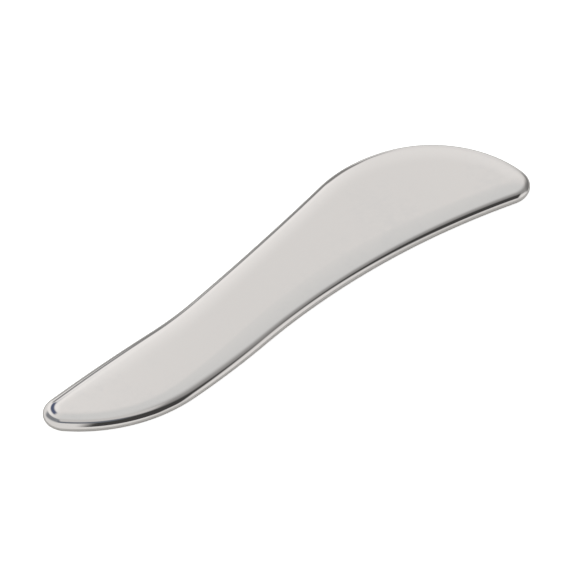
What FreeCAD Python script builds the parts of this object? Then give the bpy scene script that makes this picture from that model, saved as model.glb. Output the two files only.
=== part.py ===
import FreeCAD, Part

import math
import os

# Gua sha scraper: one blade cut from stainless steel plate, with its rim rounded
# over and the whole of it polished.  It is a single solid: nothing is fixed to it.
#
# Frame: X runs along the blade, tail at -X and broad head at +X; Y runs across it,
# the hollow working edge at -Y; the blade lies flat on z = 0, with the origin under
# the middle of its box.  All sizes are in millimetres.

LENGTH = 160.0
WIDTH = 42.9
THICKNESS = 4.0

# The outline is a closed chain of tangent arcs.  Five of them are placed (the
# circles below), and five more join one placed circle to the next.  A negative
# radius is a hollow.
TAIL_TIP_RADIUS = 6.1
TAIL_TIP_Y = 1.6
BELLY_RADIUS = 244.0
BELLY_X = -50.5
BELLY_LOWEST_Y = -16.7
CORNER_RADIUS = 8.0
HEAD_BACK_RADIUS = 44.0
HEAD_BACK_X = 43.0
WAIST_RADIUS = -100.0
WAIST_X = -38.5
WAIST_LOWEST_Y = 8.9

TAIL_HEEL_RADIUS = 42.0
NEAR_HOLLOW_RADIUS = -226.0
HEAD_END_RADIUS = 32.6
HEAD_BACK_RUN_RADIUS = -1000.0
TAIL_BACK_RADIUS = 480.0

# The rim is half an ellipse in section: as high as the plate is thick, and this
# wide in plan.  It is broadest round the tail, where the edge is eased the most.
TAIL_RIM = 4.0
BELLY_RIM = 3.0
HEAD_RIM = 2.4
WAIST_RIM = 4.0

# Sections that the rim is carried through, from the lower face to the upper one.
RIM_STEPS = 12


def outline_circles():
    """The ten circles of the outline, in order anticlockwise from the tail tip.

    Each is (centre, radius, rim width); a joining circle has no centre of its own.
    """
    tip = FreeCAD.Vector(TAIL_TIP_RADIUS - LENGTH / 2, TAIL_TIP_Y, 0)
    belly = FreeCAD.Vector(BELLY_X, BELLY_LOWEST_Y + BELLY_RADIUS, 0)
    corner = FreeCAD.Vector(LENGTH / 2 - CORNER_RADIUS, CORNER_RADIUS - WIDTH / 2, 0)
    head_back = FreeCAD.Vector(HEAD_BACK_X, WIDTH / 2 - HEAD_BACK_RADIUS, 0)
    waist = FreeCAD.Vector(WAIST_X, WAIST_LOWEST_Y - WAIST_RADIUS, 0)
    return [
        (tip, TAIL_TIP_RADIUS, TAIL_RIM),
        (None, TAIL_HEEL_RADIUS, TAIL_RIM),
        (belly, BELLY_RADIUS, BELLY_RIM),
        (None, NEAR_HOLLOW_RADIUS, HEAD_RIM),
        (corner, CORNER_RADIUS, HEAD_RIM),
        (None, HEAD_END_RADIUS, HEAD_RIM),
        (head_back, HEAD_BACK_RADIUS, HEAD_RIM),
        (None, HEAD_BACK_RUN_RADIUS, HEAD_RIM),
        (waist, WAIST_RADIUS, WAIST_RIM),
        (None, TAIL_BACK_RADIUS, TAIL_RIM),
    ]


def inward(centre_a, centre_b, radius_a, radius_b):
    """Unit vector into the blade where two tangent circles of signed radius meet."""
    return (centre_a - centre_b) * (1 / (radius_a - radius_b))


def turn_between(first, second):
    """Signed angle, anticlockwise, from one inward vector to the next."""
    cross = first.x * second.y - first.y * second.x
    return math.atan2(cross, first.dot(second))


def joining_centre(centre_a, radius_a, centre_b, radius_b, radius):
    """Centre of the arc of signed radius that is tangent to two placed circles.

    It is where two circles about the placed centres cross; of the two crossings,
    the one that is kept gives the shorter arc run in the outline's own direction.
    """
    reach_a = abs(radius - radius_a)
    reach_b = abs(radius - radius_b)
    gap = centre_b - centre_a
    along = (reach_a ** 2 - reach_b ** 2 + gap.Length ** 2) / (2 * gap.Length)
    across = math.sqrt(reach_a ** 2 - along ** 2)
    unit = gap * (1 / gap.Length)
    side = FreeCAD.Vector(-unit.y, unit.x, 0)
    best = None
    for sign in (1, -1):
        centre = centre_a + unit * along + side * (sign * across)
        entry = inward(centre_a, centre, radius_a, radius)
        leave = inward(centre_b, centre, radius_b, radius)
        run = radius * turn_between(entry, leave)
        if run > 0 and (best is None or run < best[0]):
            best = (run, centre, entry, leave)
    return best[1:]


def arc_edge(centre, radius, start, end, height):
    """Arc of the outline between the points whose inward vectors are start and end."""
    half = turn_between(start, end) / 2
    middle = FreeCAD.Vector(
        start.x * math.cos(half) - start.y * math.sin(half),
        start.x * math.sin(half) + start.y * math.cos(half), 0)
    lift = FreeCAD.Vector(0, 0, height)
    points = [centre - inner * radius + lift for inner in (start, middle, end)]
    return Part.Arc(*points).toShape()


def section(inset_share, height):
    """Closed wire of ten tangent arcs, drawn in from the outline by a share of the rim."""
    circles = [(centre, radius - rim * inset_share, rim)
               for centre, radius, rim in outline_circles()]
    count = len(circles)
    joins = {}
    for index in range(1, count, 2):
        before = circles[index - 1]
        after = circles[(index + 1) % count]
        joins[index] = joining_centre(before[0], before[1], after[0], after[1],
                                      circles[index][1])
    edges = []
    for index in range(0, count, 2):
        centre, radius, _ = circles[index]
        arriving = joins[(index - 1) % count][2]
        join_centre, entry, leave = joins[index + 1]
        edges.append(arc_edge(centre, radius, arriving, entry, height))
        edges.append(arc_edge(join_centre, circles[index + 1][1], entry, leave, height))
    return Part.Wire(edges)


def tight_box(shape):
    """Box that touches the surfaces themselves, not their control points."""
    return shape.optimalBoundingBox(False, False)


def blade():
    """The plate with its elliptical rim, lofted through level sections."""
    wires = []
    for step in range(RIM_STEPS + 1):
        angle = math.pi * (step / RIM_STEPS - 0.5)
        height = THICKNESS / 2 * (1 + math.sin(angle))
        wires.append(section(1 - math.cos(angle), height))
    solid = Part.makeLoft(wires, True, False)
    box = tight_box(solid)
    solid.translate(FreeCAD.Vector(-box.Center.x, -box.Center.y, 0))
    return solid


os.makedirs("parts", exist_ok=True)
scraper_blade = blade()
scraper_blade.exportStep("parts/scraper_blade.step")

size = tight_box(scraper_blade)
print("scraper_blade: %.2f x %.2f x %.2f mm" % (size.XLength, size.YLength, size.ZLength))
print("valid %s, solids %d, faces %d" % (
    scraper_blade.isValid(), len(scraper_blade.Solids), len(scraper_blade.Faces)))
print("volume %.0f mm3" % scraper_blade.Volume)
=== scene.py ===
# %% [markdown]
# # A polished steel gua sha scraper
# A gua sha scraper is a hand tool for scraping massage. This one is cut from steel
# plate in a long S, its rim is rounded over so that it glides on oiled skin, and the
# whole of it is polished like a spoon. There is one piece, so the lesson is about two
# things: a rim that curves without a kink, because a mirror shows every fault, and a
# studio for it to reflect, because polished steel has hardly any colour of its own. The
# blade's solid from CAD is loaded first, because every size here starts from it.

import math

import bmesh
import bpy
import numpy as np
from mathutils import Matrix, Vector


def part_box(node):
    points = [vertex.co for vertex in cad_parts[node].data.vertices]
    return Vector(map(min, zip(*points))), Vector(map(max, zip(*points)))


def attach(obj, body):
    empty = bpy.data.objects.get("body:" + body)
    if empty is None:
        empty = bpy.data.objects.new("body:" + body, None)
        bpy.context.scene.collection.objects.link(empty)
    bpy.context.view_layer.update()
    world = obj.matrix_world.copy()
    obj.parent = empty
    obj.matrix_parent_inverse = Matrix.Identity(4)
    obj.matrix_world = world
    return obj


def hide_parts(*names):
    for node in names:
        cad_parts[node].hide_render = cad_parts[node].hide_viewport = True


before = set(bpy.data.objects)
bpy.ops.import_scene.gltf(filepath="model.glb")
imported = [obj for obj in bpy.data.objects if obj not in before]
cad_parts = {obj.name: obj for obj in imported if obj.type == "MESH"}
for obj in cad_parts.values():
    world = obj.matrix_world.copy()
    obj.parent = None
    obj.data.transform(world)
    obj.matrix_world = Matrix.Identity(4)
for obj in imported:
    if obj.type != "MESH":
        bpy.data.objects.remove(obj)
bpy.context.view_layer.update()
low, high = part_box("scraper_blade")
print("blade from CAD, mm:", [round(1000 * (b - a), 2) for a, b in zip(low, high)])

# %% [markdown]
# ## The outline
# The plan of the blade is ten arcs that run into one another without a corner. Five of
# the circles are placed: the tail tip, the belly, the sharp corner of the head, the back
# of the head and the waist. Each of the other five is only a radius, and touches the
# circles before and after it. A negative radius is a hollow. A curve drawn by hand
# through points would wobble, and the steel would show it. Arcs can't wobble. Points in
# the plane are complex numbers here, so turning one is a multiplication.

# %% Driving sizes
MM = 0.001
length, width, thickness = (high[i] - low[i] for i in range(3))
mid_height = (low[2] + high[2]) / 2
half_height = thickness / 2

tip_radius = 6.1 * MM
tip_y = 1.6 * MM
belly_radius = 244 * MM
belly_x = -50.5 * MM
belly_lowest_y = -16.7 * MM
corner_radius = 8.0 * MM
head_back_radius = 44 * MM
head_back_x = 43 * MM
waist_radius = -100 * MM
waist_x = -38.5 * MM
waist_lowest_y = 8.9 * MM

PLACED_CIRCLES = {
    "tail_tip": (complex(tip_radius - length / 2, tip_y), tip_radius),
    "belly": (complex(belly_x, belly_lowest_y + belly_radius), belly_radius),
    "corner": (complex(length / 2, -width / 2) + corner_radius * (-1 + 1j), corner_radius),
    "head_back": (complex(head_back_x, width / 2 - head_back_radius), head_back_radius),
    "waist": (complex(waist_x, waist_lowest_y - waist_radius), waist_radius),
}
JOINING_RADII = {
    "heel": 42 * MM,
    "hollow": -226 * MM,
    "head_end": 32.6 * MM,
    "back_run": -1000 * MM,
    "tail_back": 480 * MM,
}
print("outline box, mm: %.1f x %.1f, thickness %.1f" % (
    length / MM, width / MM, thickness / MM))


# %% Tangent arcs
def joining_arc(before, after, radius):
    """The arc that touches two placed circles.

    A centre that is |R - r1| from one centre and |R - r2| from the other lies where two
    circles cross. Where arcs touch, the unit vector into the blade is (c1 - c) / (r1 - R).
    Of the two crossings, the one with the shorter forward run is the outline's.
    """
    (c1, r1), (c2, r2) = before, after
    gap = c2 - c1
    along = ((radius - r1) ** 2 - (radius - r2) ** 2 + abs(gap) ** 2) / (2 * abs(gap))
    across = math.sqrt((radius - r1) ** 2 - along ** 2)
    choices = []
    for side in (1, -1):
        centre = c1 + gap / abs(gap) * complex(along, side * across)
        enter = (c1 - centre) / (r1 - radius)
        leave = (c2 - centre) / (r2 - radius)
        run = radius * np.angle(leave / enter)
        if run > 0:
            choices.append((run, centre, enter, leave))
    return min(choices, key=lambda choice: choice[0])[1:]


def outline_arcs():
    """All ten arcs in order: name, centre, radius, and the inward vectors at its ends."""
    placed = list(PLACED_CIRCLES.items())
    joins = []
    for index, (name, radius) in enumerate(JOINING_RADII.items()):
        before = placed[index][1]
        after = placed[(index + 1) % len(placed)][1]
        joins.append((name, radius, *joining_arc(before, after, radius)))
    arcs = []
    for index, (name, (centre, radius)) in enumerate(placed):
        join_name, join_radius, join_centre, enter, leave = joins[index]
        arriving = joins[index - 1][-1]
        arcs.append((name, centre, radius, arriving, enter))
        arcs.append((join_name, join_centre, join_radius, enter, leave))
    return arcs


arcs = outline_arcs()
print("arcs in order:", ", ".join(name for name, *_ in arcs))


# %% Points along the arcs
def sample_outline(arcs, spacing, turn_step):
    """Points c - r * n, where n is the inward unit vector as it turns along each arc.

    Returns the points, the outward vectors, and each point's place as arc number plus
    the share of that arc already run.
    """
    points, outward, places = [], [], []
    for index, (_, centre, radius, enter, leave) in enumerate(arcs):
        turn = np.angle(leave / enter)
        steps = math.ceil(max(abs(turn * radius) / spacing, abs(turn) / turn_step))
        share = np.arange(steps) / steps
        inward = enter * np.exp(1j * turn * share)
        points.append(centre - radius * inward)
        outward.append(-inward)
        places.append(index + share)
    return tuple(np.concatenate(part) for part in (points, outward, places))


POINT_SPACING = 0.6 * MM
TURN_STEP = math.radians(1.6)
edge, outward, places = sample_outline(arcs, POINT_SPACING, TURN_STEP)
print("points round the outline:", len(edge))

# %% [markdown]
# ## The rim
# Seen in section, the edge is half of a slightly squared ellipse. It is as high as the
# plate is thick, and wider in plan where the maker has eased it more, round the tail.
# Inside it the face still falls away a little over the last few millimetres, as a
# buffing wheel leaves it. So the height is the sum of two curves: a quarter of the
# squared ellipse, which rises in the width of the rim, and a shallow parabola, which
# rises over a wider band. A bevel modifier would give one width everywhere. Here the
# width changes slowly round the blade, and the slope never jumps.
#
# A station is an arc, a share of the way along it, and a width there in millimetres.
# The crown is the part of the height that the wider band gives. A roundness of 2 would
# be a true ellipse, and more is squarer.

# %% Widths round the blade
ARC_ORDER = [name for name, *_ in arcs]
RIM_WIDTHS = [
    ("tail_tip", 0.5, 4.6), ("heel", 0.5, 3.7), ("belly", 0.5, 3.3),
    ("hollow", 0.3, 2.5), ("corner", 0.5, 3.0), ("back_run", 0.85, 2.8),
    ("waist", 0.55, 3.1), ("tail_back", 0.4, 4.2),
]
EASED_WIDTHS = [
    ("tail_tip", 0.5, 4.9), ("heel", 0.6, 5.0), ("hollow", 0.5, 8.5),
    ("hollow", 0.9, 7.2), ("corner", 0.5, 6.6), ("head_end", 0.2, 7.4),
    ("head_end", 0.6, 9.0), ("back_run", 0.5, 8.0), ("tail_back", 0.5, 8.5),
    ("tail_back", 0.92, 5.0),
]
SMOOTHING = 3.0 * MM
CROWN = 0.45 * MM
ROUNDNESS = 2.3


def around(stations, at_places, points):
    """Widths in metres at every outline point, from a few named stations.

    Straight lines join the stations, and a bell-shaped average round the loop then
    rounds off their corners.
    """
    turns = len(ARC_ORDER)
    place = np.array([ARC_ORDER.index(name) + share for name, share, _ in stations])
    value = np.array([width_mm for *_, width_mm in stations]) * MM
    raw = np.interp(at_places, place, value, period=turns)
    run = np.cumsum(np.abs(points - np.roll(points, 1)))
    gap = run[:, None] - run[None, :]
    gap = np.abs(gap - run[-1] * np.round(gap / run[-1]))
    weight = np.exp(-0.5 * (gap / SMOOTHING) ** 2)
    return weight @ raw / weight.sum(axis=1)


rim_width = around(RIM_WIDTHS, places, edge)
eased_width = around(EASED_WIDTHS, places, edge)
print("rim width, mm: %.1f to %.1f" % (rim_width.min() / MM, rim_width.max() / MM))
arc_radius = np.array([radius for _, _, radius, _, _ in arcs])[places.astype(int)]
room = (arc_radius - eased_width)[arc_radius > 0]
print("least room between the eased band and an arc's centre, mm: %.1f" % (room.min() / MM))


# %% The section as a formula
def section(rim, eased, rim_steps, crown_steps):
    """Inset and height of each ring from the blade's middle plane to its flat face.

    With d the inset and p the roundness,
    height = (h - c) * (1 - (1 - d/w)^p)^(1/p) + c * (1 - (1 - d/B)^2),
    each term full once d passes its own width: w for the rim, B for the eased band.
    Rings are spaced by equal angles round the rim, then evenly over the band.
    """
    angle = np.linspace(0, math.pi / 2, rim_steps + 1)[:, None]
    band = np.linspace(0, 1, crown_steps + 1)[1:, None]
    inset = np.concatenate([rim * (1 - np.cos(angle)), rim + (eased - rim) * band])
    in_rim = np.clip(1 - inset / rim, 0, 1)
    in_band = np.clip(1 - inset / eased, 0, 1)
    rise = (1 - in_rim ** ROUNDNESS) ** (1 / ROUNDNESS)
    height = (half_height - CROWN) * rise + CROWN * (1 - in_band ** 2)
    return inset, height


RIM_STEPS = 30
CROWN_STEPS = 14
inset, height = section(rim_width, eased_width, RIM_STEPS, CROWN_STEPS)
print("rings from middle plane to face:", len(inset))


# %% The closed surface
def blade_mesh(name, inset, height):
    """Grid of rings round the outline, from the lower face to the upper, with flat ends.

    The lower half is the upper one mirrored in the middle plane. Each quad joins point
    j of ring i to point j+1 of ring i+1, and one flat polygon closes each face.
    """
    insets = np.concatenate([inset[:0:-1], inset])
    heights = np.concatenate([-height[:0:-1], height])
    plan = edge - outward * insets
    grid = np.stack([plan.real, plan.imag, mid_height + heights], axis=-1)
    rings, around_count, _ = grid.shape
    index = np.arange(rings * around_count).reshape(rings, around_count)
    after = np.roll(index, -1, axis=1)
    quads = np.stack([index[:-1], after[:-1], after[1:], index[1:]], axis=-1)
    faces = quads.reshape(-1, 4).tolist()
    faces.append(index[0, ::-1].tolist())
    faces.append(index[-1].tolist())
    mesh = bpy.data.meshes.new(name)
    mesh.from_pydata(grid.reshape(-1, 3), [], faces)
    mesh.shade_smooth()
    mesh.validate()
    return mesh


def measure(mesh):
    """Signed volume, positive if the faces point outwards, and the number of open edges."""
    shell = bmesh.new()
    shell.from_mesh(mesh)
    volume = shell.calc_volume(signed=True)
    open_edges = sum(not line.is_manifold for line in shell.edges)
    shell.free()
    return volume, open_edges


mesh = blade_mesh("polished_blade", inset, height)
blade = bpy.data.objects.new("polished_blade", mesh)
bpy.context.scene.collection.objects.link(blade)
volume, open_edges = measure(mesh)
print("blade faces: %d, volume, cm3: %.2f, open edges: %d" % (
    len(mesh.polygons), volume / (10 * MM) ** 3, open_edges))

# %% [markdown]
# ## Polished steel
# Stainless steel reflects about two thirds of the light, a little warmer than grey. The
# polish isn't perfect: there are hair-fine lines from the buffing wheel, a few longer
# handling scratches, and faint patches where a finger has dulled it. Each is a small
# node group with named inputs, so that each can be turned up or down on its own.


# %% Node helpers
def add(tree, kind, **settings):
    """Adds a node and sets its properties, or its inputs where the name is an input's."""
    node = tree.nodes.new(kind)
    for key, value in settings.items():
        if hasattr(node, key):
            setattr(node, key, value)
        else:
            node.inputs[key.replace("_", " ")].default_value = value
    return node


def new_group(name, inputs, outputs):
    """An empty shader node group with named sockets, and its two end nodes."""
    group = bpy.data.node_groups.new(name, "ShaderNodeTree")
    for label, kind, default in inputs:
        socket = group.interface.new_socket(label, in_out="INPUT", socket_type=kind)
        if default is not None:
            socket.default_value = default
    for label, kind in outputs:
        group.interface.new_socket(label, in_out="OUTPUT", socket_type=kind)
    return group, group.nodes.new("NodeGroupInput"), group.nodes.new("NodeGroupOutput")


def use_group(tree, group, **values):
    """Places a group in a tree with its own values."""
    node = tree.nodes.new("ShaderNodeGroup")
    node.node_tree = group
    for key, value in values.items():
        node.inputs[key.replace("_", " ")].default_value = value
    return node


# %% Small maths nodes
def maths(tree, operation, *values):
    """A Math node whose inputs are numbers or other nodes' outputs."""
    node = add(tree, "ShaderNodeMath", operation=operation)
    for socket, value in zip(node.inputs, values):
        if isinstance(value, (int, float)):
            socket.default_value = value
        else:
            tree.links.new(value, socket)
    return node.outputs[0]


def fade(tree, value, start, end):
    """0 before start, 1 after end, and a smooth S between them."""
    node = add(tree, "ShaderNodeMapRange", interpolation_type="SMOOTHSTEP")
    for name, source in (("Value", value), ("From Min", start), ("From Max", end)):
        tree.links.new(source, node.inputs[name])
    return node.outputs["Result"]


# %% Buffing lines
def buffing_lines():
    """Fine lines: noise stretched along one direction, so that it reads as hairlines."""
    group, given, result = new_group(
        "buffing_lines",
        [("Vector", "NodeSocketVector", None), ("Angle", "NodeSocketFloat", 0.0),
         ("Lines per metre", "NodeSocketFloat", 6000.0),
         ("Stretch", "NodeSocketFloat", 60.0)],
        [("Height", "NodeSocketFloat")])
    turn = add(group, "ShaderNodeVectorRotate", rotation_type="Z_AXIS")
    squeeze = add(group, "ShaderNodeCombineXYZ", Y=1.0, Z=1.0)
    along = maths(group, "DIVIDE", 1.0, given.outputs["Stretch"])
    scaled = add(group, "ShaderNodeVectorMath", operation="MULTIPLY")
    noise = add(group, "ShaderNodeTexNoise", Detail=3.0, Roughness=0.6)
    link = group.links.new
    link(given.outputs["Vector"], turn.inputs["Vector"])
    link(given.outputs["Angle"], turn.inputs["Angle"])
    link(along, squeeze.inputs["X"])
    link(turn.outputs["Vector"], scaled.inputs[0])
    link(squeeze.outputs[0], scaled.inputs[1])
    link(scaled.outputs["Vector"], noise.inputs["Vector"])
    link(given.outputs["Lines per metre"], noise.inputs["Scale"])
    link(noise.outputs["Fac"], result.inputs["Height"])
    return group


LINES = buffing_lines()
print("buffing lines, nodes:", len(LINES.nodes))

# %% [markdown]
# Handling marks are smooth patches: two noises of different size, multiplied, and
# faded in above a threshold, so that the marks have soft edges. One noise alone would
# give patches of one size. Multiplying by the second, which is about a half on average,
# halves the first, so the threshold is halved too.

# %% Handling marks
FINER_BY = 9.0
NOISE_MIDDLE = 0.5
MARK_SOFTNESS = 0.25


def handling_marks():
    """Mask of faint dull patches: smooth step of large noise times small noise."""
    group, given, result = new_group(
        "handling_marks",
        [("Vector", "NodeSocketVector", None), ("Patches per metre", "NodeSocketFloat", 35.0),
         ("Threshold", "NodeSocketFloat", 0.5)],
        [("Mask", "NodeSocketFloat")])
    large = add(group, "ShaderNodeTexNoise", Detail=2.0, Roughness=0.5)
    small = add(group, "ShaderNodeTexNoise", Detail=4.0, Roughness=0.7)
    finer = maths(group, "MULTIPLY", given.outputs["Patches per metre"], FINER_BY)
    for noise, scale in ((large, given.outputs["Patches per metre"]), (small, finer)):
        group.links.new(given.outputs["Vector"], noise.inputs["Vector"])
        group.links.new(scale, noise.inputs["Scale"])
    both = maths(group, "MULTIPLY", large.outputs["Fac"], small.outputs["Fac"])
    start = maths(group, "MULTIPLY", given.outputs["Threshold"], NOISE_MIDDLE)
    end = maths(group, "ADD", start, MARK_SOFTNESS)
    group.links.new(fade(group, both, start, end), result.inputs["Mask"])
    return group


MARKS = handling_marks()
print("handling marks, nodes:", len(MARKS.nodes))


# %% The steel itself
CLEAN_TONE = (0.665, 0.640, 0.620, 1)
MARKED_TONE = (0.650, 0.628, 0.612, 1)
CLEAN_ROUGHNESS = 0.05
MARKED_ROUGHNESS = 0.11
HAIRLINE_DEPTH = 0.02 * MM


def polished_steel():
    """Metal whose roughness rises slightly in the handling marks, with hairline bump."""
    material = bpy.data.materials.new("polished_steel")
    material.use_nodes = True
    tree = material.node_tree
    shader = tree.nodes["Principled BSDF"]
    shader.inputs["Metallic"].default_value = 1.0
    link = tree.links.new
    place = add(tree, "ShaderNodeTexCoord")
    marks = use_group(tree, MARKS, Patches_per_metre=40.0, Threshold=0.46)
    lengthwise = use_group(tree, LINES, Angle=math.radians(8), Lines_per_metre=5000.0)
    crosswise = use_group(tree, LINES, Angle=math.radians(-63), Lines_per_metre=2600.0,
                          Stretch=90.0)
    for node in (marks, lengthwise, crosswise):
        link(place.outputs["Object"], node.inputs["Vector"])
    roughness = add(tree, "ShaderNodeMapRange", To_Min=CLEAN_ROUGHNESS,
                    To_Max=MARKED_ROUGHNESS)
    link(marks.outputs["Mask"], roughness.inputs["Value"])
    link(roughness.outputs["Result"], shader.inputs["Roughness"])
    tone = add(tree, "ShaderNodeMix", data_type="RGBA")
    tone.inputs["A"].default_value = CLEAN_TONE
    tone.inputs["B"].default_value = MARKED_TONE
    link(marks.outputs["Mask"], tone.inputs["Factor"])
    link(tone.outputs["Result"], shader.inputs["Base Color"])
    hairlines = maths(tree, "ADD", lengthwise.outputs["Height"], crosswise.outputs["Height"])
    bump = add(tree, "ShaderNodeBump", Strength=0.02, Distance=HAIRLINE_DEPTH)
    link(hairlines, bump.inputs["Height"])
    link(bump.outputs["Normal"], shader.inputs["Normal"])
    return material


blade.data.materials.append(polished_steel())
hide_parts("scraper_blade")
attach(blade, "root")
print("materials:", [m.name for m in blade.data.materials])

# %% [markdown]
# ## The table and the camera
# The tool lies on a plain white table, which the camera sees overexposed, so that it is
# plain white all over. The camera looks down on the blade from above the near side of
# its tail. A short lens would swell the near end, and a long one keeps both ends in
# proportion.

# %% White table
TABLE_HALF_SIDE = 3.0
TABLE_COLOUR = (0.80, 0.80, 0.785, 1)
WHITE = (1, 1, 1, 1)
OVEREXPOSURE = 0.8


def white_table(half_side):
    """A flat square under the blade, far larger than the camera sees.

    The camera sees it overexposed to plain white, by a little extra light that the
    steel doesn't reflect.
    """
    corners = [(-half_side, -half_side, 0), (half_side, -half_side, 0),
               (half_side, half_side, 0), (-half_side, half_side, 0)]
    mesh = bpy.data.meshes.new("table")
    mesh.from_pydata(corners, [], [(0, 1, 2, 3)])
    material = bpy.data.materials.new("white_table")
    material.use_nodes = True
    tree = material.node_tree
    shader = tree.nodes["Principled BSDF"]
    shader.inputs["Base Color"].default_value = TABLE_COLOUR
    shader.inputs["Emission Color"].default_value = WHITE
    camera_ray = add(tree, "ShaderNodeLightPath").outputs["Is Camera Ray"]
    extra = maths(tree, "MULTIPLY", camera_ray, OVEREXPOSURE)
    tree.links.new(extra, shader.inputs["Emission Strength"])
    shader.inputs["Roughness"].default_value = 0.9
    shader.inputs["Specular IOR Level"].default_value = 0.0
    mesh.materials.append(material)
    table = bpy.data.objects.new("table", mesh)
    bpy.context.scene.collection.objects.link(table)
    return table


table = white_table(TABLE_HALF_SIDE)
print("table side, m: %.1f" % (2 * TABLE_HALF_SIDE))

# %% Camera
AZIMUTH = math.radians(-43.3)
ELEVATION = math.radians(43.0)
DISTANCE = 0.75
LENS = 174.5
SENSOR_WIDTH = 36.0
NEAREST_SEEN = 0.01
AIM = np.array([-0.0004, -0.0032, mid_height])
back = np.array([math.sin(AZIMUTH) * math.cos(ELEVATION),
                 -math.cos(AZIMUTH) * math.cos(ELEVATION), math.sin(ELEVATION)])
camera_data = bpy.data.cameras.new("camera")
camera_data.lens = LENS
camera_data.sensor_width = SENSOR_WIDTH
camera_data.clip_start = NEAREST_SEEN
camera = bpy.data.objects.new("camera", camera_data)
camera.location = AIM + back * DISTANCE
camera.rotation_euler = (math.pi / 2 - ELEVATION, 0, AZIMUTH)
bpy.context.scene.collection.objects.link(camera)
bpy.context.scene.camera = camera
print("camera at", [round(value, 3) for value in camera.location])

# %% [markdown]
# ## The studio
# A mirror shows its room, so the room is the real paint here. It is a world shader: a
# pale dome, and boards of paler and darker card bent round it in rings, as a
# photographer hangs them round a spoon. The rings are centred on the direction that the
# flat face mirrors into the camera. A point where the rim has tipped over by some angle
# mirrors a ring about twice that angle out, so a board draws a band or a line along the
# rim. Flat cards on stands are the other way, but it is harder to keep them out of the
# flat face.


# %% Directions
def part_along(tree, direction, axis):
    """How far a direction points along a fixed axis."""
    node = add(tree, "ShaderNodeVectorMath", operation="DOT_PRODUCT")
    node.inputs[1].default_value = axis
    tree.links.new(direction, node.inputs[0])
    return node.outputs["Value"]


# %% A board in the dome
def ring_board():
    """Mask of one board: a stretch of a ring, with soft ends and soft edges.

    Clock is the angle round the ring and Tilt the angle out from its centre, both in
    degrees. The mask is 1 where Clock is within the half width of the middle and Tilt is
    between the inner and outer edges.
    """
    numbers = [("Clock", 0.0), ("Tilt", 0.0), ("Middle", 0.0), ("Half width", 30.0),
               ("End softness", 10.0), ("Inner edge", 10.0), ("Outer edge", 50.0),
               ("Inner softness", 10.0), ("Outer softness", 10.0)]
    group, given, result = new_group(
        "ring_board", [(name, "NodeSocketFloat", value) for name, value in numbers],
        [("Mask", "NodeSocketFloat")])
    out = given.outputs
    turned = maths(group, "SUBTRACT", out["Clock"], out["Middle"])
    away = maths(group, "ABSOLUTE", maths(group, "WRAP", turned, 180.0, -180.0))
    end = maths(group, "ADD", out["Half width"], out["End softness"])
    inner = maths(group, "SUBTRACT", out["Inner edge"], out["Inner softness"])
    outer = maths(group, "ADD", out["Outer edge"], out["Outer softness"])
    mask = fade(group, away, end, out["Half width"])
    for inside in (fade(group, out["Tilt"], inner, out["Inner edge"]),
                   fade(group, out["Tilt"], outer, out["Outer edge"])):
        mask = maths(group, "MULTIPLY", mask, inside)
    group.links.new(mask, result.inputs["Mask"])
    return group


BOARD = ring_board()
print("ring board, nodes:", len(BOARD.nodes))

# %% Where the boards hang
DOME_COLOUR = (0.985, 0.985, 0.985)
MIRROR_BEARING = math.radians(45)
MIRROR_ELEVATION = math.radians(43)


def grey(tone):
    """A neutral colour. A tone above 1 is a board that glows."""
    return (tone, tone, tone)


def board(name, colour, along, out, soft_along, soft_out):
    """One board, in degrees: its middle and half width along the ring, its inner and
    outer edge, and the softness of each.
    """
    return dict(name=name, colour=colour, sockets=dict(
        Middle=along[0], Half_width=along[1], End_softness=soft_along,
        Inner_edge=out[0], Outer_edge=out[1],
        Inner_softness=soft_out[0], Outer_softness=soft_out[1]))


STUDIO_BOARDS = [
    board("near_cool", (0.88, 0.90, 0.91), along=(55, 55), out=(10, 35),
          soft_along=30, soft_out=(15, 20)),
    board("far_glow", grey(1.20), along=(-120, 70), out=(12, 35),
          soft_along=40, soft_out=(10, 10)),
    board("head_pale", grey(1.00), along=(-55, 45), out=(25, 55),
          soft_along=25, soft_out=(35, 10)),
    board("near_grey", grey(0.40), along=(25, 35), out=(40, 55),
          soft_along=30, soft_out=(25, 10)),
    board("near_black", grey(0.07), along=(62, 24), out=(55, 95),
          soft_along=10, soft_out=(15, 2)),
    board("heel_grey", (0.30, 0.32, 0.35), along=(150, 20), out=(40, 50),
          soft_along=25, soft_out=(5, 15)),
    board("heel_slate", (0.20, 0.22, 0.26), along=(100, 15), out=(45, 55),
          soft_along=15, soft_out=(10, 5)),
    board("zenith_pale", grey(0.80), along=(90, 20), out=(35, 45),
          soft_along=10, soft_out=(5, 5)),
    board("tip_blue", (0.12, 0.15, 0.25), along=(180, 30), out=(20, 25),
          soft_along=15, soft_out=(5, 5)),
    board("far_slate", (0.27, 0.28, 0.29), along=(-120, 15), out=(28, 31),
          soft_along=10, soft_out=(5, 5)),
    board("far_line", grey(0.30), along=(-115, 5), out=(25, 45),
          soft_along=5, soft_out=(10, 10)),
    board("head_grey", grey(0.25), along=(-30, 20), out=(45, 90),
          soft_along=25, soft_out=(25, 10)),
    board("corner_white", grey(1.05), along=(10, 15), out=(75, 110),
          soft_along=15, soft_out=(10, 20)),
    board("corner_pale", grey(0.90), along=(30, 10), out=(90, 105),
          soft_along=10, soft_out=(5, 10)),
]
print("boards in the dome:", ", ".join(item["name"] for item in STUDIO_BOARDS))


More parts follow.
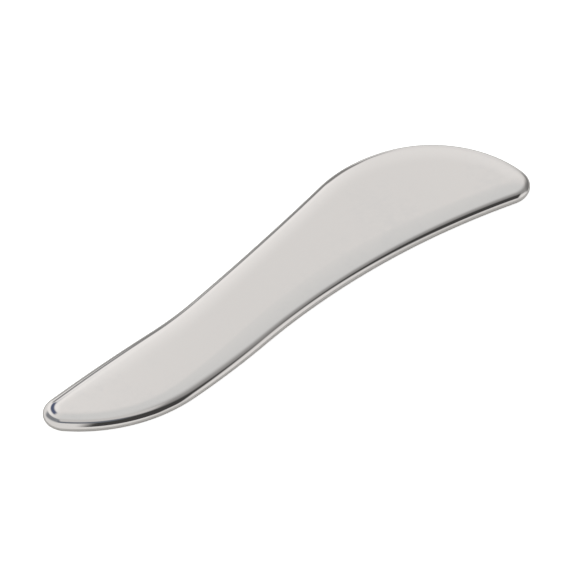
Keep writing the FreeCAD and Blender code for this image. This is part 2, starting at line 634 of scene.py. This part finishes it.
# %% The dome
def ring_angles(tree, direction):
    """Clock and tilt of a direction about the middle of the rings, in degrees."""
    flat, rise = math.cos(MIRROR_ELEVATION), math.sin(MIRROR_ELEVATION)
    middle = np.array([math.cos(MIRROR_BEARING) * flat, math.sin(MIRROR_BEARING) * flat, rise])
    rightward = np.array([math.sin(MIRROR_BEARING), -math.cos(MIRROR_BEARING), 0.0])
    upward = np.cross(rightward, middle)
    clock = maths(tree, "ARCTAN2", part_along(tree, direction, upward),
                  part_along(tree, direction, rightward))
    tilt = maths(tree, "ARCCOSINE", part_along(tree, direction, middle))
    return maths(tree, "DEGREES", clock), maths(tree, "DEGREES", tilt)


def studio_world():
    """The dome's colour with each board laid over it, and a white backdrop for the camera."""
    world = bpy.data.worlds.new("studio")
    world.use_nodes = True
    tree = world.node_tree
    link = tree.links.new
    room = tree.nodes["Background"]
    clock, tilt = ring_angles(tree, add(tree, "ShaderNodeTexCoord").outputs["Generated"])
    dome = add(tree, "ShaderNodeRGB")
    dome.outputs[0].default_value = (*DOME_COLOUR, 1)
    colour = dome.outputs[0]
    for item in STUDIO_BOARDS:
        mask = use_group(tree, BOARD, **item["sockets"])
        link(clock, mask.inputs["Clock"])
        link(tilt, mask.inputs["Tilt"])
        laid = add(tree, "ShaderNodeMix", data_type="RGBA")
        laid.inputs["B"].default_value = (*item["colour"], 1)
        link(mask.outputs["Mask"], laid.inputs["Factor"])
        link(colour, laid.inputs["A"])
        colour = laid.outputs["Result"]
    link(colour, room.inputs["Color"])
    backdrop = add(tree, "ShaderNodeBackground", Color=WHITE, Strength=1.0)
    choose = add(tree, "ShaderNodeMixShader")
    link(add(tree, "ShaderNodeLightPath").outputs["Is Camera Ray"], choose.inputs["Fac"])
    link(room.outputs[0], choose.inputs[1])
    link(backdrop.outputs[0], choose.inputs[2])
    link(choose.outputs[0], tree.nodes["World Output"].inputs["Surface"])
    bpy.context.scene.world = world


studio_world()
bpy.context.scene.view_settings.view_transform = "Standard"
print("world nodes:", len(bpy.context.scene.world.node_tree.nodes))


# %% [markdown]
# ## The light
# The dome already lights the table. One large soft light high above it adds a
# faint shadow under the rim. Mirrored in the steel it would be a hard white square, so
# it is left out of reflections, which a real lamp can't be.

# %% Soft light on the table
def soft_light(name, size, power, bearing, elevation, distance):
    """A square area light facing the blade, left out of reflections."""
    light = bpy.data.lights.new(name, "AREA")
    light.size = size
    light.energy = power
    lamp = bpy.data.objects.new(name, light)
    turn, rise = math.radians(bearing), math.radians(elevation)
    lamp.location = (distance * math.cos(turn) * math.cos(rise),
                     distance * math.sin(turn) * math.cos(rise), distance * math.sin(rise))
    lamp.rotation_euler = (math.pi / 2 - rise, 0, turn + math.pi / 2)
    lamp.visible_glossy = False
    bpy.context.scene.collection.objects.link(lamp)
    print("light:", name, "at", [round(value, 2) for value in lamp.location])


soft_light("overhead", size=1.6, power=4.0, bearing=60, elevation=75, distance=1.5)
